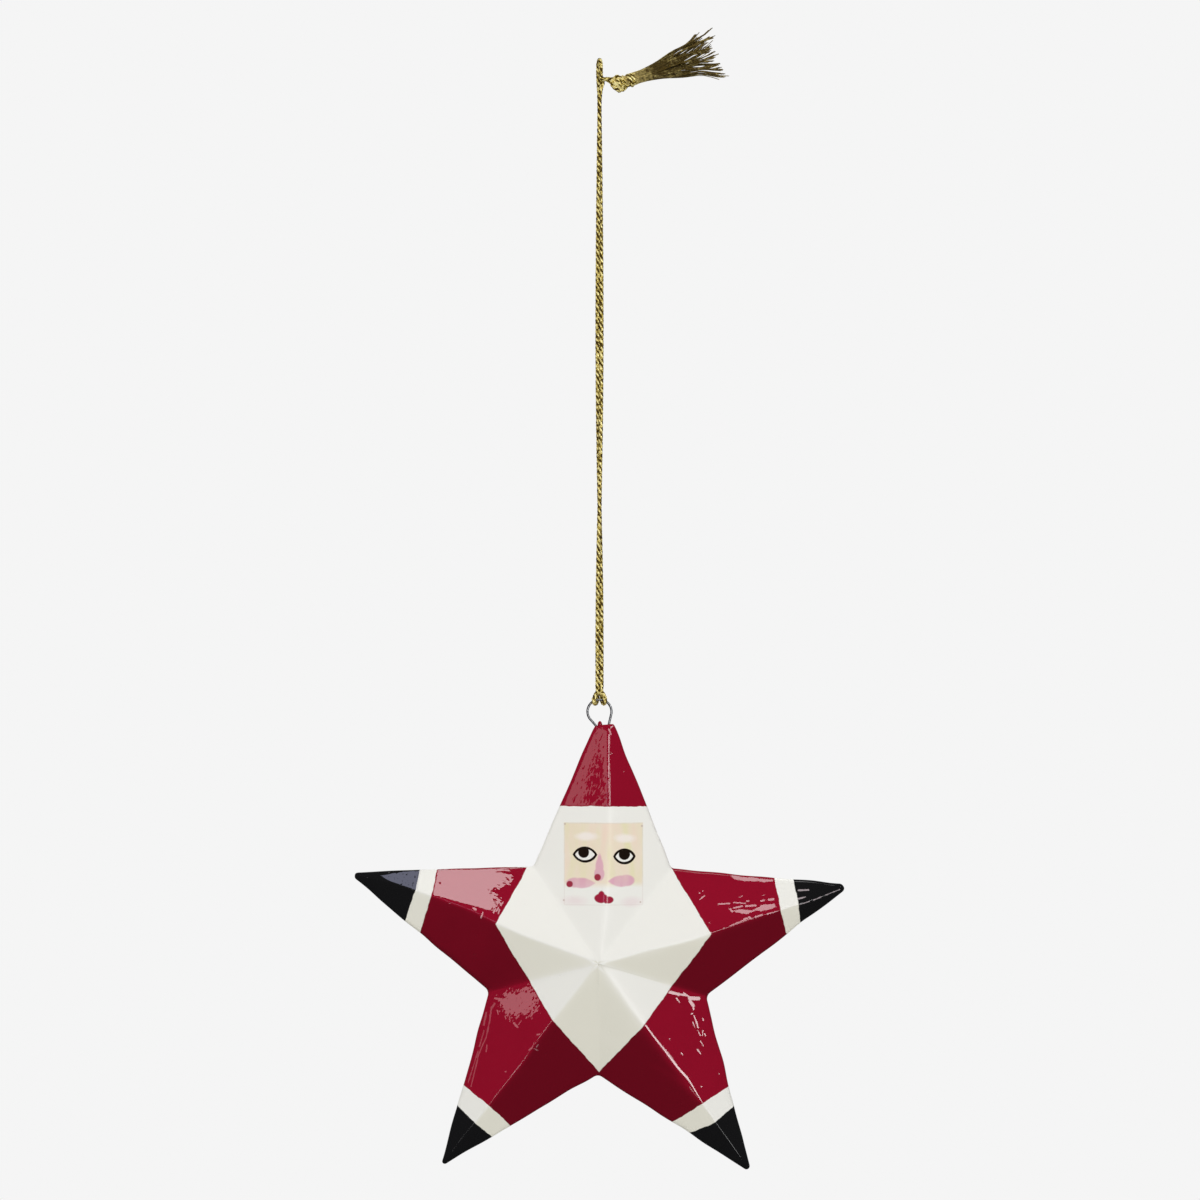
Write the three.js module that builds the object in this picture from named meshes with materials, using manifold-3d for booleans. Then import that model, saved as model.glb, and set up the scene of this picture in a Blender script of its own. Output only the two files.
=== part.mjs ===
// A painted wooden star ornament with a hat, mittens and boots on its five points,
// hung by a doubled gold cord from a wire eye in the end of the hat.
// Millimetres, +Z up, the painted front faces -Y. The origin is the inside top of
// the hanging loop, where a hook carries the ornament.
import * as THREE from "three";
import { mergeVertices } from "three/addons/utils/BufferGeometryUtils.js";
import Module from "manifold-3d";

// Star
const pointCount = 5;
const tipReach = 65.2; // centre to where the edges of a point would meet
const bluntReach = 64.4; // centre to the worn end of a point
const notchReach = 29.1; // centre to the corner between two points
const crownReach = 59; // centre to the flat end of the hat
const apexHeight = 13; // middle plane to the star's centre, on each side
const rimThickness = 2.6;
const rimBevel = 0.55; // rounded-over edge of the rim
const bluntSides = 120;

// Wire eye
const wireDiameter = 0.6;
const eyeRadius = 3; // to the middle of the wire
const eyeRise = 3.4; // flat end of the hat to the middle of the eye
const eyeShift = -0.7; // the eye is bent this far to the left of the hat's ridge
const legSpacing = 3.3;
const legDepth = 10;
const legClearance = 0.3; // between the wire and the wood
const eyeLeftEnd = 222; // degrees on the eye where the left leg bends away
const eyeRightEnd = -15;
const eyeArcSteps = 24;

// Hang
const eyeDrop = 162.4; // inside top of the hanging loop to the middle of the eye
const starLean = 1; // degrees, clockwise from the front

// Cord
const cordDiameter = 0.95;
const strandSpacing = 1.2; // between the middles of the two strands
const cordSides = 8;
const cordGap = 0.3; // between cord ends that meet
const bendRise = 6.5; // middle of the eye to where the cord folds, just above the hitch
const footLength = 5.9; // from that fold up to where the strands begin to twist
const pairTop = -12; // the two strands lie together below this

// Tassel
const neckPivot = [1.7, 0, -4.3];
const neckDraw = 0.5; // how far the two strands draw together inside the knot
const knotCentre = [4.9, 0, -5.4];
const knotRadii = [2.05, 2, 2.15];
const collarCentre = [7.7, 0, -4.6];
const collarRadii = [1.75, 1.5, 1.6];
const tasselRise = 18; // degrees above level
const skirtRootRadius = 1.3;
const skirtRootLength = 3.2;
const skirtLength = 22.6;
const skirtFan = 17.5; // degrees from the tassel's middle line to its outer threads
const threadCount = 90;
const threadWidth = 0.3;
const threadLoss = 3; // the shortest threads end this much before the longest
const threadLengths = 10; // different lengths between those two
const lengthStep = 7; // steps of length from one thread to the next, so that they look mixed
const knotSides = 16;
const knotRings = 10;

const starColour = 0x8c0f28;
const steelColour = 0x8d8f92;
const goldColour = 0x96803a;

const wasm = await Module();
wasm.setup();

// Joins and cuts

function toSolid(geometry) {
  const plain = geometry.clone();
  plain.deleteAttribute("normal");
  plain.deleteAttribute("uv");
  const merged = mergeVertices(plain, 1e-4);
  return new wasm.Manifold(
    new wasm.Mesh({
      numProp: 3,
      vertProperties: new Float32Array(merged.attributes.position.array),
      triVerts: new Uint32Array(merged.index.array),
    }),
  );
}

function toGeometry(solid) {
  const mesh = solid.getMesh();
  const geometry = new THREE.BufferGeometry();
  geometry.setAttribute("position", new THREE.BufferAttribute(mesh.vertProperties, 3));
  geometry.setIndex(new THREE.BufferAttribute(mesh.triVerts, 1));
  return geometry;
}

// Tubes

// A smooth curve stepped point by point, so close points give short steps.
class Route extends THREE.CatmullRomCurve3 {
  getPointAt(u, target) {
    return this.getPoint(u, target);
  }

  getTangentAt(u, target) {
    return this.getTangent(u, target);
  }
}

function roundSection(diameter, sides) {
  const corners = [];
  for (let i = 0; i < sides; i++) {
    const turn = (2 * Math.PI * i) / sides;
    corners.push(new THREE.Vector2(Math.cos(turn), Math.sin(turn)).multiplyScalar(diameter / 2));
  }
  return new THREE.Shape(corners);
}

function tube(points, diameter) {
  const route = new Route(points.map((p) => new THREE.Vector3(...p)));
  const section = roundSection(diameter, cordSides);
  return new THREE.ExtrudeGeometry(section, { steps: points.length - 1, extrudePath: route });
}

// Star body, in a frame whose origin is the middle of the eye

const rad = THREE.MathUtils.degToRad;
const starCentre = [-eyeShift, 0, -(eyeRise + crownReach)];

function starOutline(scale) {
  const corners = [];
  for (let i = 0; i < 2 * pointCount; i++) {
    const reach = i % 2 === 0 ? tipReach : notchReach;
    const turn = (Math.PI * i) / pointCount;
    corners.push([scale * reach * Math.sin(turn), scale * reach * Math.cos(turn)]);
  }
  return corners;
}

// Distance from the centre to the straight edges of the outline, all alike.
function edgeDistance() {
  const half = Math.PI / pointCount;
  const edge = Math.hypot(
    tipReach - notchReach * Math.cos(half),
    notchReach * Math.sin(half),
  );
  return (tipReach * notchReach * Math.sin(half)) / edge;
}

// Two low star pyramids back to back on a thin rim with bevelled edges.
function facetedStar() {
  const inset = 1 - rimBevel / edgeDistance();
  const half = rimThickness / 2;
  const rings = [
    [inset, -half],
    [1, rimBevel - half],
    [1, half - rimBevel],
    [inset, half],
  ];
  const corners = 2 * pointCount;
  const vertices = [[0, -apexHeight, 0]];
  for (const [scale, depth] of rings) {
    for (const [x, z] of starOutline(scale)) vertices.push([x, depth, z]);
  }
  vertices.push([0, apexHeight, 0]);
  const back = vertices.length - 1;
  const faces = [];
  for (let i = 0; i < corners; i++) {
    const j = (i + 1) % corners;
    faces.push([0, 1 + j, 1 + i]);
    for (let ring = 0; ring < rings.length - 1; ring++) {
      const near = 1 + ring * corners;
      const far = near + corners;
      faces.push([near + i, near + j, far + j], [near + i, far + j, far + i]);
    }
    const last = 1 + (rings.length - 1) * corners;
    faces.push([back, last + i, last + j]);
  }
  const geometry = new THREE.BufferGeometry();
  geometry.setAttribute("position", new THREE.Float32BufferAttribute(vertices.flat(), 3));
  geometry.setIndex(faces.flat());
  return geometry;
}

function starBody() {
  const depth = 4 * apexHeight;
  const blunting = new THREE.CylinderGeometry(bluntReach, bluntReach, depth, bluntSides);
  const aboveCrown = new THREE.BoxGeometry(tipReach, depth, tipReach);
  aboveCrown.translate(0, 0, crownReach + tipReach / 2);
  let solid = toSolid(facetedStar()).intersect(toSolid(blunting)).subtract(toSolid(aboveCrown));
  const holeRadius = wireDiameter / 2 + legClearance;
  const holeDepth = legDepth + legClearance;
  for (const side of [-1, 1]) {
    const hole = new THREE.CylinderGeometry(holeRadius, holeRadius, 2 * holeDepth, cordSides);
    hole.rotateX(Math.PI / 2);
    hole.translate((side * legSpacing) / 2, 0, crownReach);
    solid = solid.subtract(toSolid(hole));
  }
  return toGeometry(solid).translate(...starCentre);
}

// Wire eye: a leg, the round of the eye, and the other leg

function hangerEye() {
  const crown = -eyeRise;
  const left = -eyeShift - legSpacing / 2;
  const right = -eyeShift + legSpacing / 2;
  const points = [];
  for (const depth of [legDepth, legDepth / 2, wireDiameter, 0]) points.push([left, 0, crown - depth]);
  points.push([left, 0, crown + wireDiameter / 2]);
  for (let i = 0; i <= eyeArcSteps; i++) {
    const turn = rad(eyeLeftEnd + ((eyeRightEnd - eyeLeftEnd) * i) / eyeArcSteps);
    points.push([eyeRadius * Math.cos(turn), 0, eyeRadius * Math.sin(turn)]);
  }
  points.push([right, 0, crown]);
  for (const depth of [wireDiameter, legDepth / 2, legDepth]) points.push([right, 0, crown - depth]);
  return tube(points, wireDiameter);
}

// Cord routes, chosen by hand

const bendHeight = bendRise - eyeDrop;
const spinHeight = bendHeight + footLength;

// The doubled cord turns slowly on itself: share of the way down, and the turn of the
// return strand in degrees.
const pairTurns = [
  [0, 270],
  [0.1, 247],
  [0.2, 225],
  [0.3, 202],
  [0.4, 180],
  [0.48, 157],
  [0.56, 135],
  [0.64, 112],
  [0.72, 90],
  [0.78, 67],
  [0.84, 45],
  [0.9, 22],
  [0.965, 0],
  [1, 0],
];

function strand(side) {
  return pairTurns.map(([share, turn]) => [
    (side * strandSpacing * Math.cos(rad(turn))) / 2,
    (side * strandSpacing * Math.sin(rad(turn))) / 2,
    pairTop + share * (spinHeight - pairTop),
  ]);
}

// From the neck of the tassel up and over the hanging loop.
const loopPoints = [
  [0.74, -0.6, -4.3],
  [0.46, -0.76, -3.9],
  [0.36, -1.2, -3.3],
  [0.34, -1.82, -2.675],
  [0.33, -2.1, -1.625],
  [0.28, -1.82, -0.575],
  [0.16, -1.05, 0.194],
  [0, 0, 0.475],
  [-0.16, 1.05, 0.194],
  [-0.28, 1.82, -0.575],
  [-0.33, 2.1, -1.625],
  [-0.34, 1.82, -2.675],
  [-0.32, 1.25, -3.45],
  [-0.28, 0.84, -4.4],
  [-0.2, 0.66, -5.7],
  [-0.08, 0.6, -8],
];

// From the neck of the tassel straight down, under the loop strand.
const returnPoints = [
  [0.7, 0.44, -4.66],
  [0.76, 0.02, -5.44],
  [0.36, -0.46, -6.6],
  [0.1, -0.58, -8.6],
];

// One half of the cow hitch, down behind the wire, under it, up its front and over to the
// bar that crosses behind both strands: degrees along the eye from its top, degrees round
// the wire from its outer side towards the back, and the distance off a snug turn.
const hitchTurns = [
  [6, 5, 1.66],
  [7, 18, 0.96],
  [8.7, 44, 0.4],
  [12, 90, 0.06],
  [19, 140, 0.04],
  [30, 180, 0.04],
  [35, 225, 0.04],
  [31, 270, 0.04],
  [27, 315, 0.06],
  [24.5, 350, 0.2],
  [23, 377, 0.46],
  [22.5, 399, 0.9],
  [18.7, 412, 1.45],
  [10.3, 418, 1.77],
];
const barTurn = [0, 420, 1.84];

function onEye([along, round, off]) {
  const out = wireDiameter / 2 + cordGap + cordDiameter / 2 + off;
  const reach = eyeRadius + out * Math.cos(rad(round));
  return [reach * Math.sin(rad(along)), out * Math.sin(rad(round)), reach * Math.cos(rad(along))];
}

function roundEnd(x, y, z) {
  const end = new THREE.SphereGeometry(cordDiameter / 2, cordSides, cordSides / 2);
  return toSolid(end.translate(x, y, z));
}

function hitch() {
  const right = [[strandSpacing / 2, 0, bendRise], ...hitchTurns.map(onEye)];
  const left = right.map(([x, y, z]) => [-x, y, z]).reverse();
  let solid = toSolid(tube([...right, onEye(barTurn), ...left], cordDiameter));
  for (const side of [-1, 1]) solid = solid.add(roundEnd((side * strandSpacing) / 2, 0, bendRise));
  return toGeometry(solid);
}

function foot(side) {
  const x = (side * strandSpacing) / 2;
  const top = spinHeight - cordGap;
  const bottom = bendHeight + cordDiameter / 2 + cordGap;
  return tube([[x, 0, top], [x, 0, (top + bottom) / 2], [x, 0, bottom]], cordDiameter);
}

// Tassel

const tasselAxis = [Math.cos(rad(tasselRise)), 0, Math.sin(rad(tasselRise))];

function ellipsoid(centre, radii) {
  const ball = new THREE.SphereGeometry(1, knotSides, knotRings).scale(...radii);
  return toSolid(ball.rotateY(-rad(tasselRise)).translate(...centre));
}

function tasselKnot() {
  let solid = ellipsoid(knotCentre, knotRadii).add(ellipsoid(collarCentre, collarRadii));
  const [x, , z] = neckPivot;
  for (const side of [-1, 1]) {
    const y = (side * strandSpacing) / 2;
    const inside = [knotCentre[0], y * neckDraw, knotCentre[2]];
    const halfway = [(x + inside[0]) / 2, (y + inside[1]) / 2, (z + inside[2]) / 2];
    solid = solid.add(toSolid(tube([[x, y, z], halfway, inside], cordDiameter)));
    solid = solid.add(roundEnd(x, y, z));
  }
  return toGeometry(solid);
}

// Threads spread like seeds on a disc, so that none cross, and fan out from one root.
function tasselSkirt() {
  const flare = Math.tan(rad(skirtFan));
  const profile = [
    [0, 0],
    [skirtRootRadius, 0],
    [skirtRootRadius + flare * skirtRootLength, skirtRootLength],
    [0, skirtRootLength],
  ];
  const root = new THREE.LatheGeometry(profile.map((p) => new THREE.Vector2(...p)), knotSides);
  let solid = toSolid(root);
  const goldenTurn = Math.PI * (3 - Math.sqrt(5));
  const spread = 1 - threadWidth / skirtRootRadius;
  for (let i = 0; i < threadCount; i++) {
    const share = spread * Math.sqrt((i + 0.5) / threadCount);
    const turn = i * goldenTurn;
    const loss = (threadLoss * ((i * lengthStep) % threadLengths)) / threadLengths;
    const place = (along) => {
      const out = share * (skirtRootRadius + flare * along);
      return new THREE.Vector3(out * Math.cos(turn), along, out * Math.sin(turn));
    };
    const start = place(skirtRootLength / 2);
    const reach = place(skirtLength - loss).sub(start);
    const thread = new THREE.CylinderGeometry(threadWidth / 3, threadWidth / 2, reach.length(), 3);
    thread.translate(0, reach.length() / 2, 0);
    thread.applyQuaternion(
      new THREE.Quaternion().setFromUnitVectors(new THREE.Vector3(0, 1, 0), reach.clone().normalize()),
    );
    thread.translate(...start.toArray());
    solid = solid.add(toSolid(thread));
  }
  const rootStart = collarCentre.map((c, i) => c + (collarRadii[0] + cordGap) * tasselAxis[i]);
  return toGeometry(solid).rotateZ(-Math.PI / 2).rotateY(-rad(tasselRise)).translate(...rootStart);
}

// Assembly

function piece(name, geometry, colour, roughness, metalness) {
  const material = new THREE.MeshStandardMaterial({ color: colour, roughness, metalness });
  const mesh = new THREE.Mesh(geometry, material);
  mesh.name = name;
  return mesh;
}

function cordPiece(name, geometry) {
  return piece(name, geometry, goldColour, 0.45, 0.7);
}

const hung = new THREE.Group();
hung.position.z = -eyeDrop;
hung.add(cordPiece("cord_hitch", hitch()));

const star = new THREE.Group();
star.rotation.y = rad(starLean);
star.add(piece("star_body", starBody(), starColour, 0.25, 0));
star.add(piece("hanger_eye", hangerEye(), steelColour, 0.35, 1));
hung.add(star);

const ornament = new THREE.Group();
ornament.add(hung);
ornament.add(cordPiece("cord_loop", tube([...loopPoints, ...strand(-1)], cordDiameter)));
ornament.add(cordPiece("cord_return", tube([...returnPoints, ...strand(1)], cordDiameter)));
ornament.add(cordPiece("cord_foot_left", foot(-1)));
ornament.add(cordPiece("cord_foot_right", foot(1)));
ornament.add(cordPiece("tassel_knot", tasselKnot()));
ornament.add(cordPiece("tassel_skirt", tasselSkirt()));

export default ornament;
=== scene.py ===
import math

import bmesh
import bpy
import numpy as np
from mathutils import Matrix, Vector, noise


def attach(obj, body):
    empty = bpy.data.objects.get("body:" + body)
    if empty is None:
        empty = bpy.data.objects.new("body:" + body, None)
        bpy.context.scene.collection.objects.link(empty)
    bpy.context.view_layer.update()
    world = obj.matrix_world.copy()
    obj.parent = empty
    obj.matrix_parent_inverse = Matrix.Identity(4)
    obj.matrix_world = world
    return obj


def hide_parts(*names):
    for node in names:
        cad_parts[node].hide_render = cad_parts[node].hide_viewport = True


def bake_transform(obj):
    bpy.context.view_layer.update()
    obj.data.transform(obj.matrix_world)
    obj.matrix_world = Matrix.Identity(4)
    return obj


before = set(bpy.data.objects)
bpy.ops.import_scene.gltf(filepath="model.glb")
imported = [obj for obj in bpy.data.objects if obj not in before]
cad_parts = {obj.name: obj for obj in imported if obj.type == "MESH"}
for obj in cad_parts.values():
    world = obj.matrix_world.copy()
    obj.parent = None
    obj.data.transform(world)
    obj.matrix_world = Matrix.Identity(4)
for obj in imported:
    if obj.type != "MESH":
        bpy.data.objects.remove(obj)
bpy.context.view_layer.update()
print("frame loaded:", len(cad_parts), "nodes")

mm = 0.001
scene = bpy.context.scene
scene.view_settings.view_transform = "Standard"

# camera: a long lens, square to the front
view = {"distance": 2.0, "frameWidth": 0.3, "middle": (0.000125, -0.1345), "sensor": 36.0}

cameraData = bpy.data.cameras.new("camera")
cameraData.sensor_width = view["sensor"]
cameraData.lens = view["sensor"] * view["distance"] / view["frameWidth"]
cameraData.clip_end = 20
camera = bpy.data.objects.new("camera", cameraData)
camera.location = (view["middle"][0], -view["distance"], view["middle"][1])
camera.rotation_euler = (math.pi / 2, 0, 0)
scene.collection.objects.link(camera)
scene.camera = camera


# one socket of a node tree, so that sums on values can be written as sums
class Value:
    def __init__(self, graph, socket):
        self.graph = graph
        self.socket = socket

    def maths(self, operation, *others):
        return self.graph.add("ShaderNodeMath", {"operation": operation}, [self, *others])

    def vector(self, operation, *others, out=0):
        return self.graph.add("ShaderNodeVectorMath", {"operation": operation}, [self, *others], out)

    def times(self, factor):  # a vector made longer or shorter
        sockets = {"Vector": self, "Scale": factor}
        return self.graph.add("ShaderNodeVectorMath", {"operation": "SCALE"}, sockets)

    def also(self, name):  # another output of the same node
        return Value(self.graph, self.socket.node.outputs[name])

    def __add__(self, other):
        return self.maths("ADD", other)

    __radd__ = __add__

    def __sub__(self, other):
        return self.maths("SUBTRACT", other)

    def __rsub__(self, other):
        return self.graph.add("ShaderNodeMath", {"operation": "SUBTRACT"}, [other, self])

    def __mul__(self, other):
        return self.maths("MULTIPLY", other)

    __rmul__ = __mul__

    def __truediv__(self, other):
        return self.maths("DIVIDE", other)

    def __abs__(self):
        return self.maths("ABSOLUTE")

    def least(self, other):
        return self.maths("MINIMUM", other)

    def most(self, other):
        return self.maths("MAXIMUM", other)

    def between(self):  # held from 0 to 1
        return self.graph.add("ShaderNodeClamp", {}, [self, 0.0, 1.0])


class Graph:
    def __init__(self, tree):
        self.tree = tree

    def add(self, kind, settings=None, sockets=(), out=0):
        node = self.tree.nodes.new(kind)
        for key, value in (settings or {}).items():
            setattr(node, key, value)
        pairs = sockets.items() if isinstance(sockets, dict) else enumerate(sockets)
        for key, value in pairs:
            if isinstance(value, Value):
                self.tree.links.new(value.socket, node.inputs[key])
            else:
                node.inputs[key].default_value = value
        return Value(self, node.outputs[out]) if node.outputs else node

    def mixColour(self, factor, first, second):
        first, second = [c if isinstance(c, Value) else (*c, 1.0) for c in (first, second)]
        settings = {"data_type": "RGBA"}
        return self.add("ShaderNodeMix", settings, {0: factor, 6: first, 7: second}, 2)

    def noise(self, where, scale, detail=2.0, rough=0.5):  # from about -1 to 1
        sockets = {"Vector": where, "Scale": scale, "Detail": detail, "Roughness": rough}
        return (self.add("ShaderNodeTexNoise", {}, sockets, 0) - 0.5) * 2.0

    def place(self):  # where a point is on the piece as it was made
        return self.add("ShaderNodeTexCoord", {}, (), "Object")

    def bump(self, strength, depth, height, **more):
        sockets = {"Strength": strength, "Distance": depth * mm, "Height": height, **more}
        return self.add("ShaderNodeBump", {}, sockets)

    def keep(self, geometry, name, value, kind="FLOAT"):  # a value that stays with each point
        settings = {"data_type": kind, "domain": "POINT"}
        sockets = {"Geometry": geometry, "Name": name, "Value": value}
        return self.add("GeometryNodeStoreNamedAttribute", settings, sockets)


def newMaterial(name):
    material = bpy.data.materials.new(name)
    material.use_nodes = True
    material.node_tree.nodes.clear()
    return material, Graph(material.node_tree)


def finishMaterial(graph, sockets):
    surface = graph.add("ShaderNodeBsdfPrincipled", {}, sockets)
    graph.add("ShaderNodeOutputMaterial", {}, {"Surface": surface})


def meshPiece(name, verts, faces, material):
    mesh = bpy.data.meshes.new(name)
    mesh.from_pydata([tuple(v) for v in verts], [], [tuple(f) for f in faces])
    mesh.polygons.foreach_set("use_smooth", [True] * len(mesh.polygons))
    mesh.materials.append(material)
    mesh.update()
    obj = bpy.data.objects.new(name, mesh)
    scene.collection.objects.link(obj)
    return obj


# stage: a pale floor that fades into a pale room, and soft lights all round
stageLight = {
    "pale": 0.913,
    "ambient": 0.59,
    "ambientRise": 0.15,
    "roomGloss": 0.02,
    "floor": (0.0, 0.45, -0.7),
    "floorRadius": 0.75,
    "floorFade": 1.6,
    "floorTone": 0.9,
    "aim": (0, 0, -0.225),
}

# lamps light the colours and don't show in the lacquer
lamps = [
    # name, degrees round from the front, degrees up, metres away, width, height, brightness
    ("key", -16.5, 50.0, 0.86, 0.26, 0.48, 6.7),
    ("fill", 48.0, -10.0, 1.0, 0.6, 0.6, 1.85),
    ("side", -50.0, 14.0, 0.92, 0.3, 0.3, 2.4),
    ("backKey", 160.0, 48.0, 0.9, 0.3, 0.4, 5.5),
    ("backFill", -140.0, -5.0, 1.0, 0.6, 0.6, 1.6),
]

# pale panels that only show in the lacquer: the same, then a tint and a slide to the right
panels = [
    ("armGlare", -2.0, 30.0, 0.9, 0.12, 0.12, 7.2, (1.12, 0.97, 1.0)),
    ("hatGlare", -30.0, 32.0, 0.9, 0.12, 0.12, 1.6, (1.25, 0.85, 0.9)),
    ("legGlare", -60.0, 35.0, 0.9, 0.12, 0.12, 2.7, (1.35, 0.84, 0.9)),
    ("dripGlare", 62.0, 30.0, 0.9, 0.12, 0.12, 11.0),
    ("mittGlare", -15.0, 18.0, 0.9, 0.12, 0.12, 3.3, (0.87, 0.89, 1.22)),
    ("legLine", -30.0, -7.0, 0.95, 0.06, 0.09, 8.0),
    ("rimPanel", 30.0, 78.6, 0.9, 0.14, 0.2, 4.0, (1.0, 1.0, 1.0), 0.02),
    ("ridgePanel", 28.0, -6.0, 0.95, 0.35, 0.14, 8.0),
    ("strip", 30.0, 9.0, 1.0, 0.16, 0.6, 8.0),
    ("backPanel", 160.0, 48.0, 0.9, 0.3, 0.4, 5.5),
]


def lightPlace(around, up, away):
    around, up = math.radians(around), math.radians(up)
    level = math.cos(up)
    ahead = Vector((math.sin(around) * level, -math.cos(around) * level, math.sin(up)))
    return Vector(stageLight["aim"]) + away * ahead


def softLight(
    mirrored, name, around, up, away, width, height, brightness, tint=(1.0, 1.0, 1.0), slide=0.0
):
    lamp = bpy.data.lights.new(name, "AREA")
    lamp.shape = "RECTANGLE"
    lamp.size = width
    lamp.size_y = height
    lamp.energy = brightness * math.pi * width * height
    lamp.color = tint
    place = lightPlace(around, up, away)
    turn = (Vector(stageLight["aim"]) - place).to_track_quat("-Z", "Y")
    obj = bpy.data.objects.new(name, lamp)
    obj.location = place + turn @ Vector((slide, 0, 0))
    obj.rotation_euler = turn.to_euler()
    obj.visible_diffuse = not mirrored
    obj.visible_glossy = mirrored
    scene.collection.objects.link(obj)


def paleRoom():
    world = bpy.data.worlds.new("room")
    scene.world = world
    world.use_nodes = True
    world.node_tree.nodes.clear()
    graph = Graph(world.node_tree)
    ray = graph.add("ShaderNodeLightPath", {}, (), "Is Camera Ray")
    mirrored = ray.also("Is Glossy Ray").most(ray.also("Is Transmission Ray"))
    facing = graph.add("ShaderNodeTexCoord", {}, (), "Generated")
    parts = graph.add("ShaderNodeSeparateXYZ", {}, [facing], "Y")
    behind = (parts * 16.0 - 14.5).between()  # the pale side of the room is behind the object
    gloss = behind * stageLight["pale"] + (1.0 - behind) * stageLight["roomGloss"]
    light = stageLight["ambient"] * (1.0 + stageLight["ambientRise"] * parts.also("Z"))
    other = mirrored * gloss + (1.0 - mirrored) * light
    strength = ray * stageLight["pale"] + (1.0 - ray) * other
    surface = graph.add("ShaderNodeBackground", {}, {"Color": (1, 1, 1, 1), "Strength": strength})
    graph.add("ShaderNodeOutputWorld", {}, {"Surface": surface})


def paleFloor():
    middle, reach, sides = Vector(stageLight["floor"]), stageLight["floorRadius"], 64
    turns = [2 * math.pi * side / sides for side in range(sides)]
    verts = [middle + reach * Vector((math.cos(turn), math.sin(turn), 0)) for turn in turns]
    material, graph = newMaterial("pale_floor")
    off = graph.place().vector("SUBTRACT", stageLight["floor"])
    shown = ((1.0 - off.vector("LENGTH", out=1) / reach) * stageLight["floorFade"]).between()
    tone = (*[stageLight["floorTone"]] * 3, 1)
    paint = graph.add("ShaderNodeBsdfDiffuse", {}, {"Color": tone})
    clear = graph.add("ShaderNodeBsdfTransparent")
    surface = graph.add("ShaderNodeMixShader", {}, [shown, clear, paint])
    graph.add("ShaderNodeOutputMaterial", {}, {"Surface": surface})
    floor = meshPiece("floor", verts, [range(sides)], material)
    floor.visible_glossy = False  # the lacquer mirrors the room instead


paleRoom()
paleFloor()
for lamp in lamps:
    softLight(False, *lamp)
for panel in panels:
    softLight(True, *panel)
print("stage ready")


# routes and meshes, in mm
def unit(v):
    return v / np.linalg.norm(v)


def smoothRoute(points, step):  # a curve through the points
    pts = [np.array(p, float) for p in points]
    pts = [2 * pts[0] - pts[1], *pts, 2 * pts[-1] - pts[-2]]
    route = []
    for a, b, c, d in zip(pts, pts[1:], pts[2:], pts[3:]):
        count = max(1, round(float(np.linalg.norm(c - b)) / step))
        for i in range(count):
            t = i / count
            bend = 2 * a - 5 * b + 4 * c - d
            twist = 3 * b - a - 3 * c + d
            route.append(0.5 * (2 * b + (c - a) * t + bend * t**2 + twist * t**3))
    return [*route, pts[-2]]


def routeLength(route):
    return sum(float(np.linalg.norm(b - a)) for a, b in zip(route, route[1:]))


def bandFaces(rings, sides, first=0):  # the faces between rings of points
    faces = []
    for ring in range(rings - 1):
        near = first + ring * sides
        far = near + sides
        for side in range(sides):
            after = (side + 1) % sides
            faces.append((near + side, near + after, far + after, far + side))
    return faces


def wireTube(route, radius, sides):  # verts and faces of a round tube with closed ends
    route = np.array(route)
    along = np.gradient(route, axis=0)
    along /= np.linalg.norm(along, axis=1)[:, None]
    across = np.cross(along[0], (0, 1, 0))
    verts = []
    for place, ahead in zip(route, along):
        across = unit(across - ahead * across.dot(ahead))
        up = np.cross(ahead, across)
        for side in range(sides):
            turn = 2 * math.pi * side / sides
            verts.append(place + radius * (math.cos(turn) * across + math.sin(turn) * up))
    caps = [range(sides - 1, -1, -1), range(len(verts) - sides, len(verts))]
    return verts, bandFaces(len(route), sides) + caps


def roundLump(middle, radii, rings=10, sides=16):  # verts and faces of an egg
    verts = [(0.0, 0.0, 1.0)]
    for ring in range(1, rings):
        polar = math.pi * ring / rings
        for side in range(sides):
            turn, wide = 2 * math.pi * side / sides, math.sin(polar)
            verts.append((wide * math.cos(turn), wide * math.sin(turn), math.cos(polar)))
    verts.append((0.0, 0.0, -1.0))
    faces = [face[::-1] for face in bandFaces(rings - 1, sides, 1)]
    last, low = len(verts) - 1, 1 + (rings - 2) * sides
    for side in range(sides):
        after = (side + 1) % sides
        faces += [(0, 1 + side, 1 + after), (last, low + after, low + side)]
    return np.array(middle) + np.array(verts) * radii, faces


# geometry nodes: a tree with an input for each value of a dictionary, run on lines in mm
socketKinds = {int: "NodeSocketInt", float: "NodeSocketFloat"}


def newTree(name, values):
    tree = bpy.data.node_groups.new(name, "GeometryNodeTree")
    sockets = {label: socketKinds[type(value)] for label, value in values.items()}
    sockets = {"Geometry": "NodeSocketGeometry", **sockets, "material": "NodeSocketMaterial"}
    for label, kind in sockets.items():
        tree.interface.new_socket(label, in_out="INPUT", socket_type=kind)
    tree.interface.new_socket("Geometry", in_out="OUTPUT", socket_type="NodeSocketGeometry")
    graph = Graph(tree)
    return tree, graph, graph.add("NodeGroupInput")


def finishTree(graph, given, lines, radius, sides):  # a round tube along each line
    ring = {"Resolution": sides, "Radius": radius}
    ring = graph.add("GeometryNodeCurvePrimitiveCircle", {}, ring)
    tube = {"Curve": lines, "Profile Curve": ring, "Fill Caps": True}
    tube = graph.add("GeometryNodeCurveToMesh", {}, tube)
    smooth = graph.add("GeometryNodeSetShadeSmooth", {}, {"Geometry": tube})
    whole = graph.add("GeometryNodeRealizeInstances", {}, {"Geometry": smooth})
    dressed = {"Geometry": whole, "Material": given.also("material")}
    graph.add("NodeGroupOutput", {}, [graph.add("GeometryNodeSetMaterial", {}, dressed)])


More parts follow.
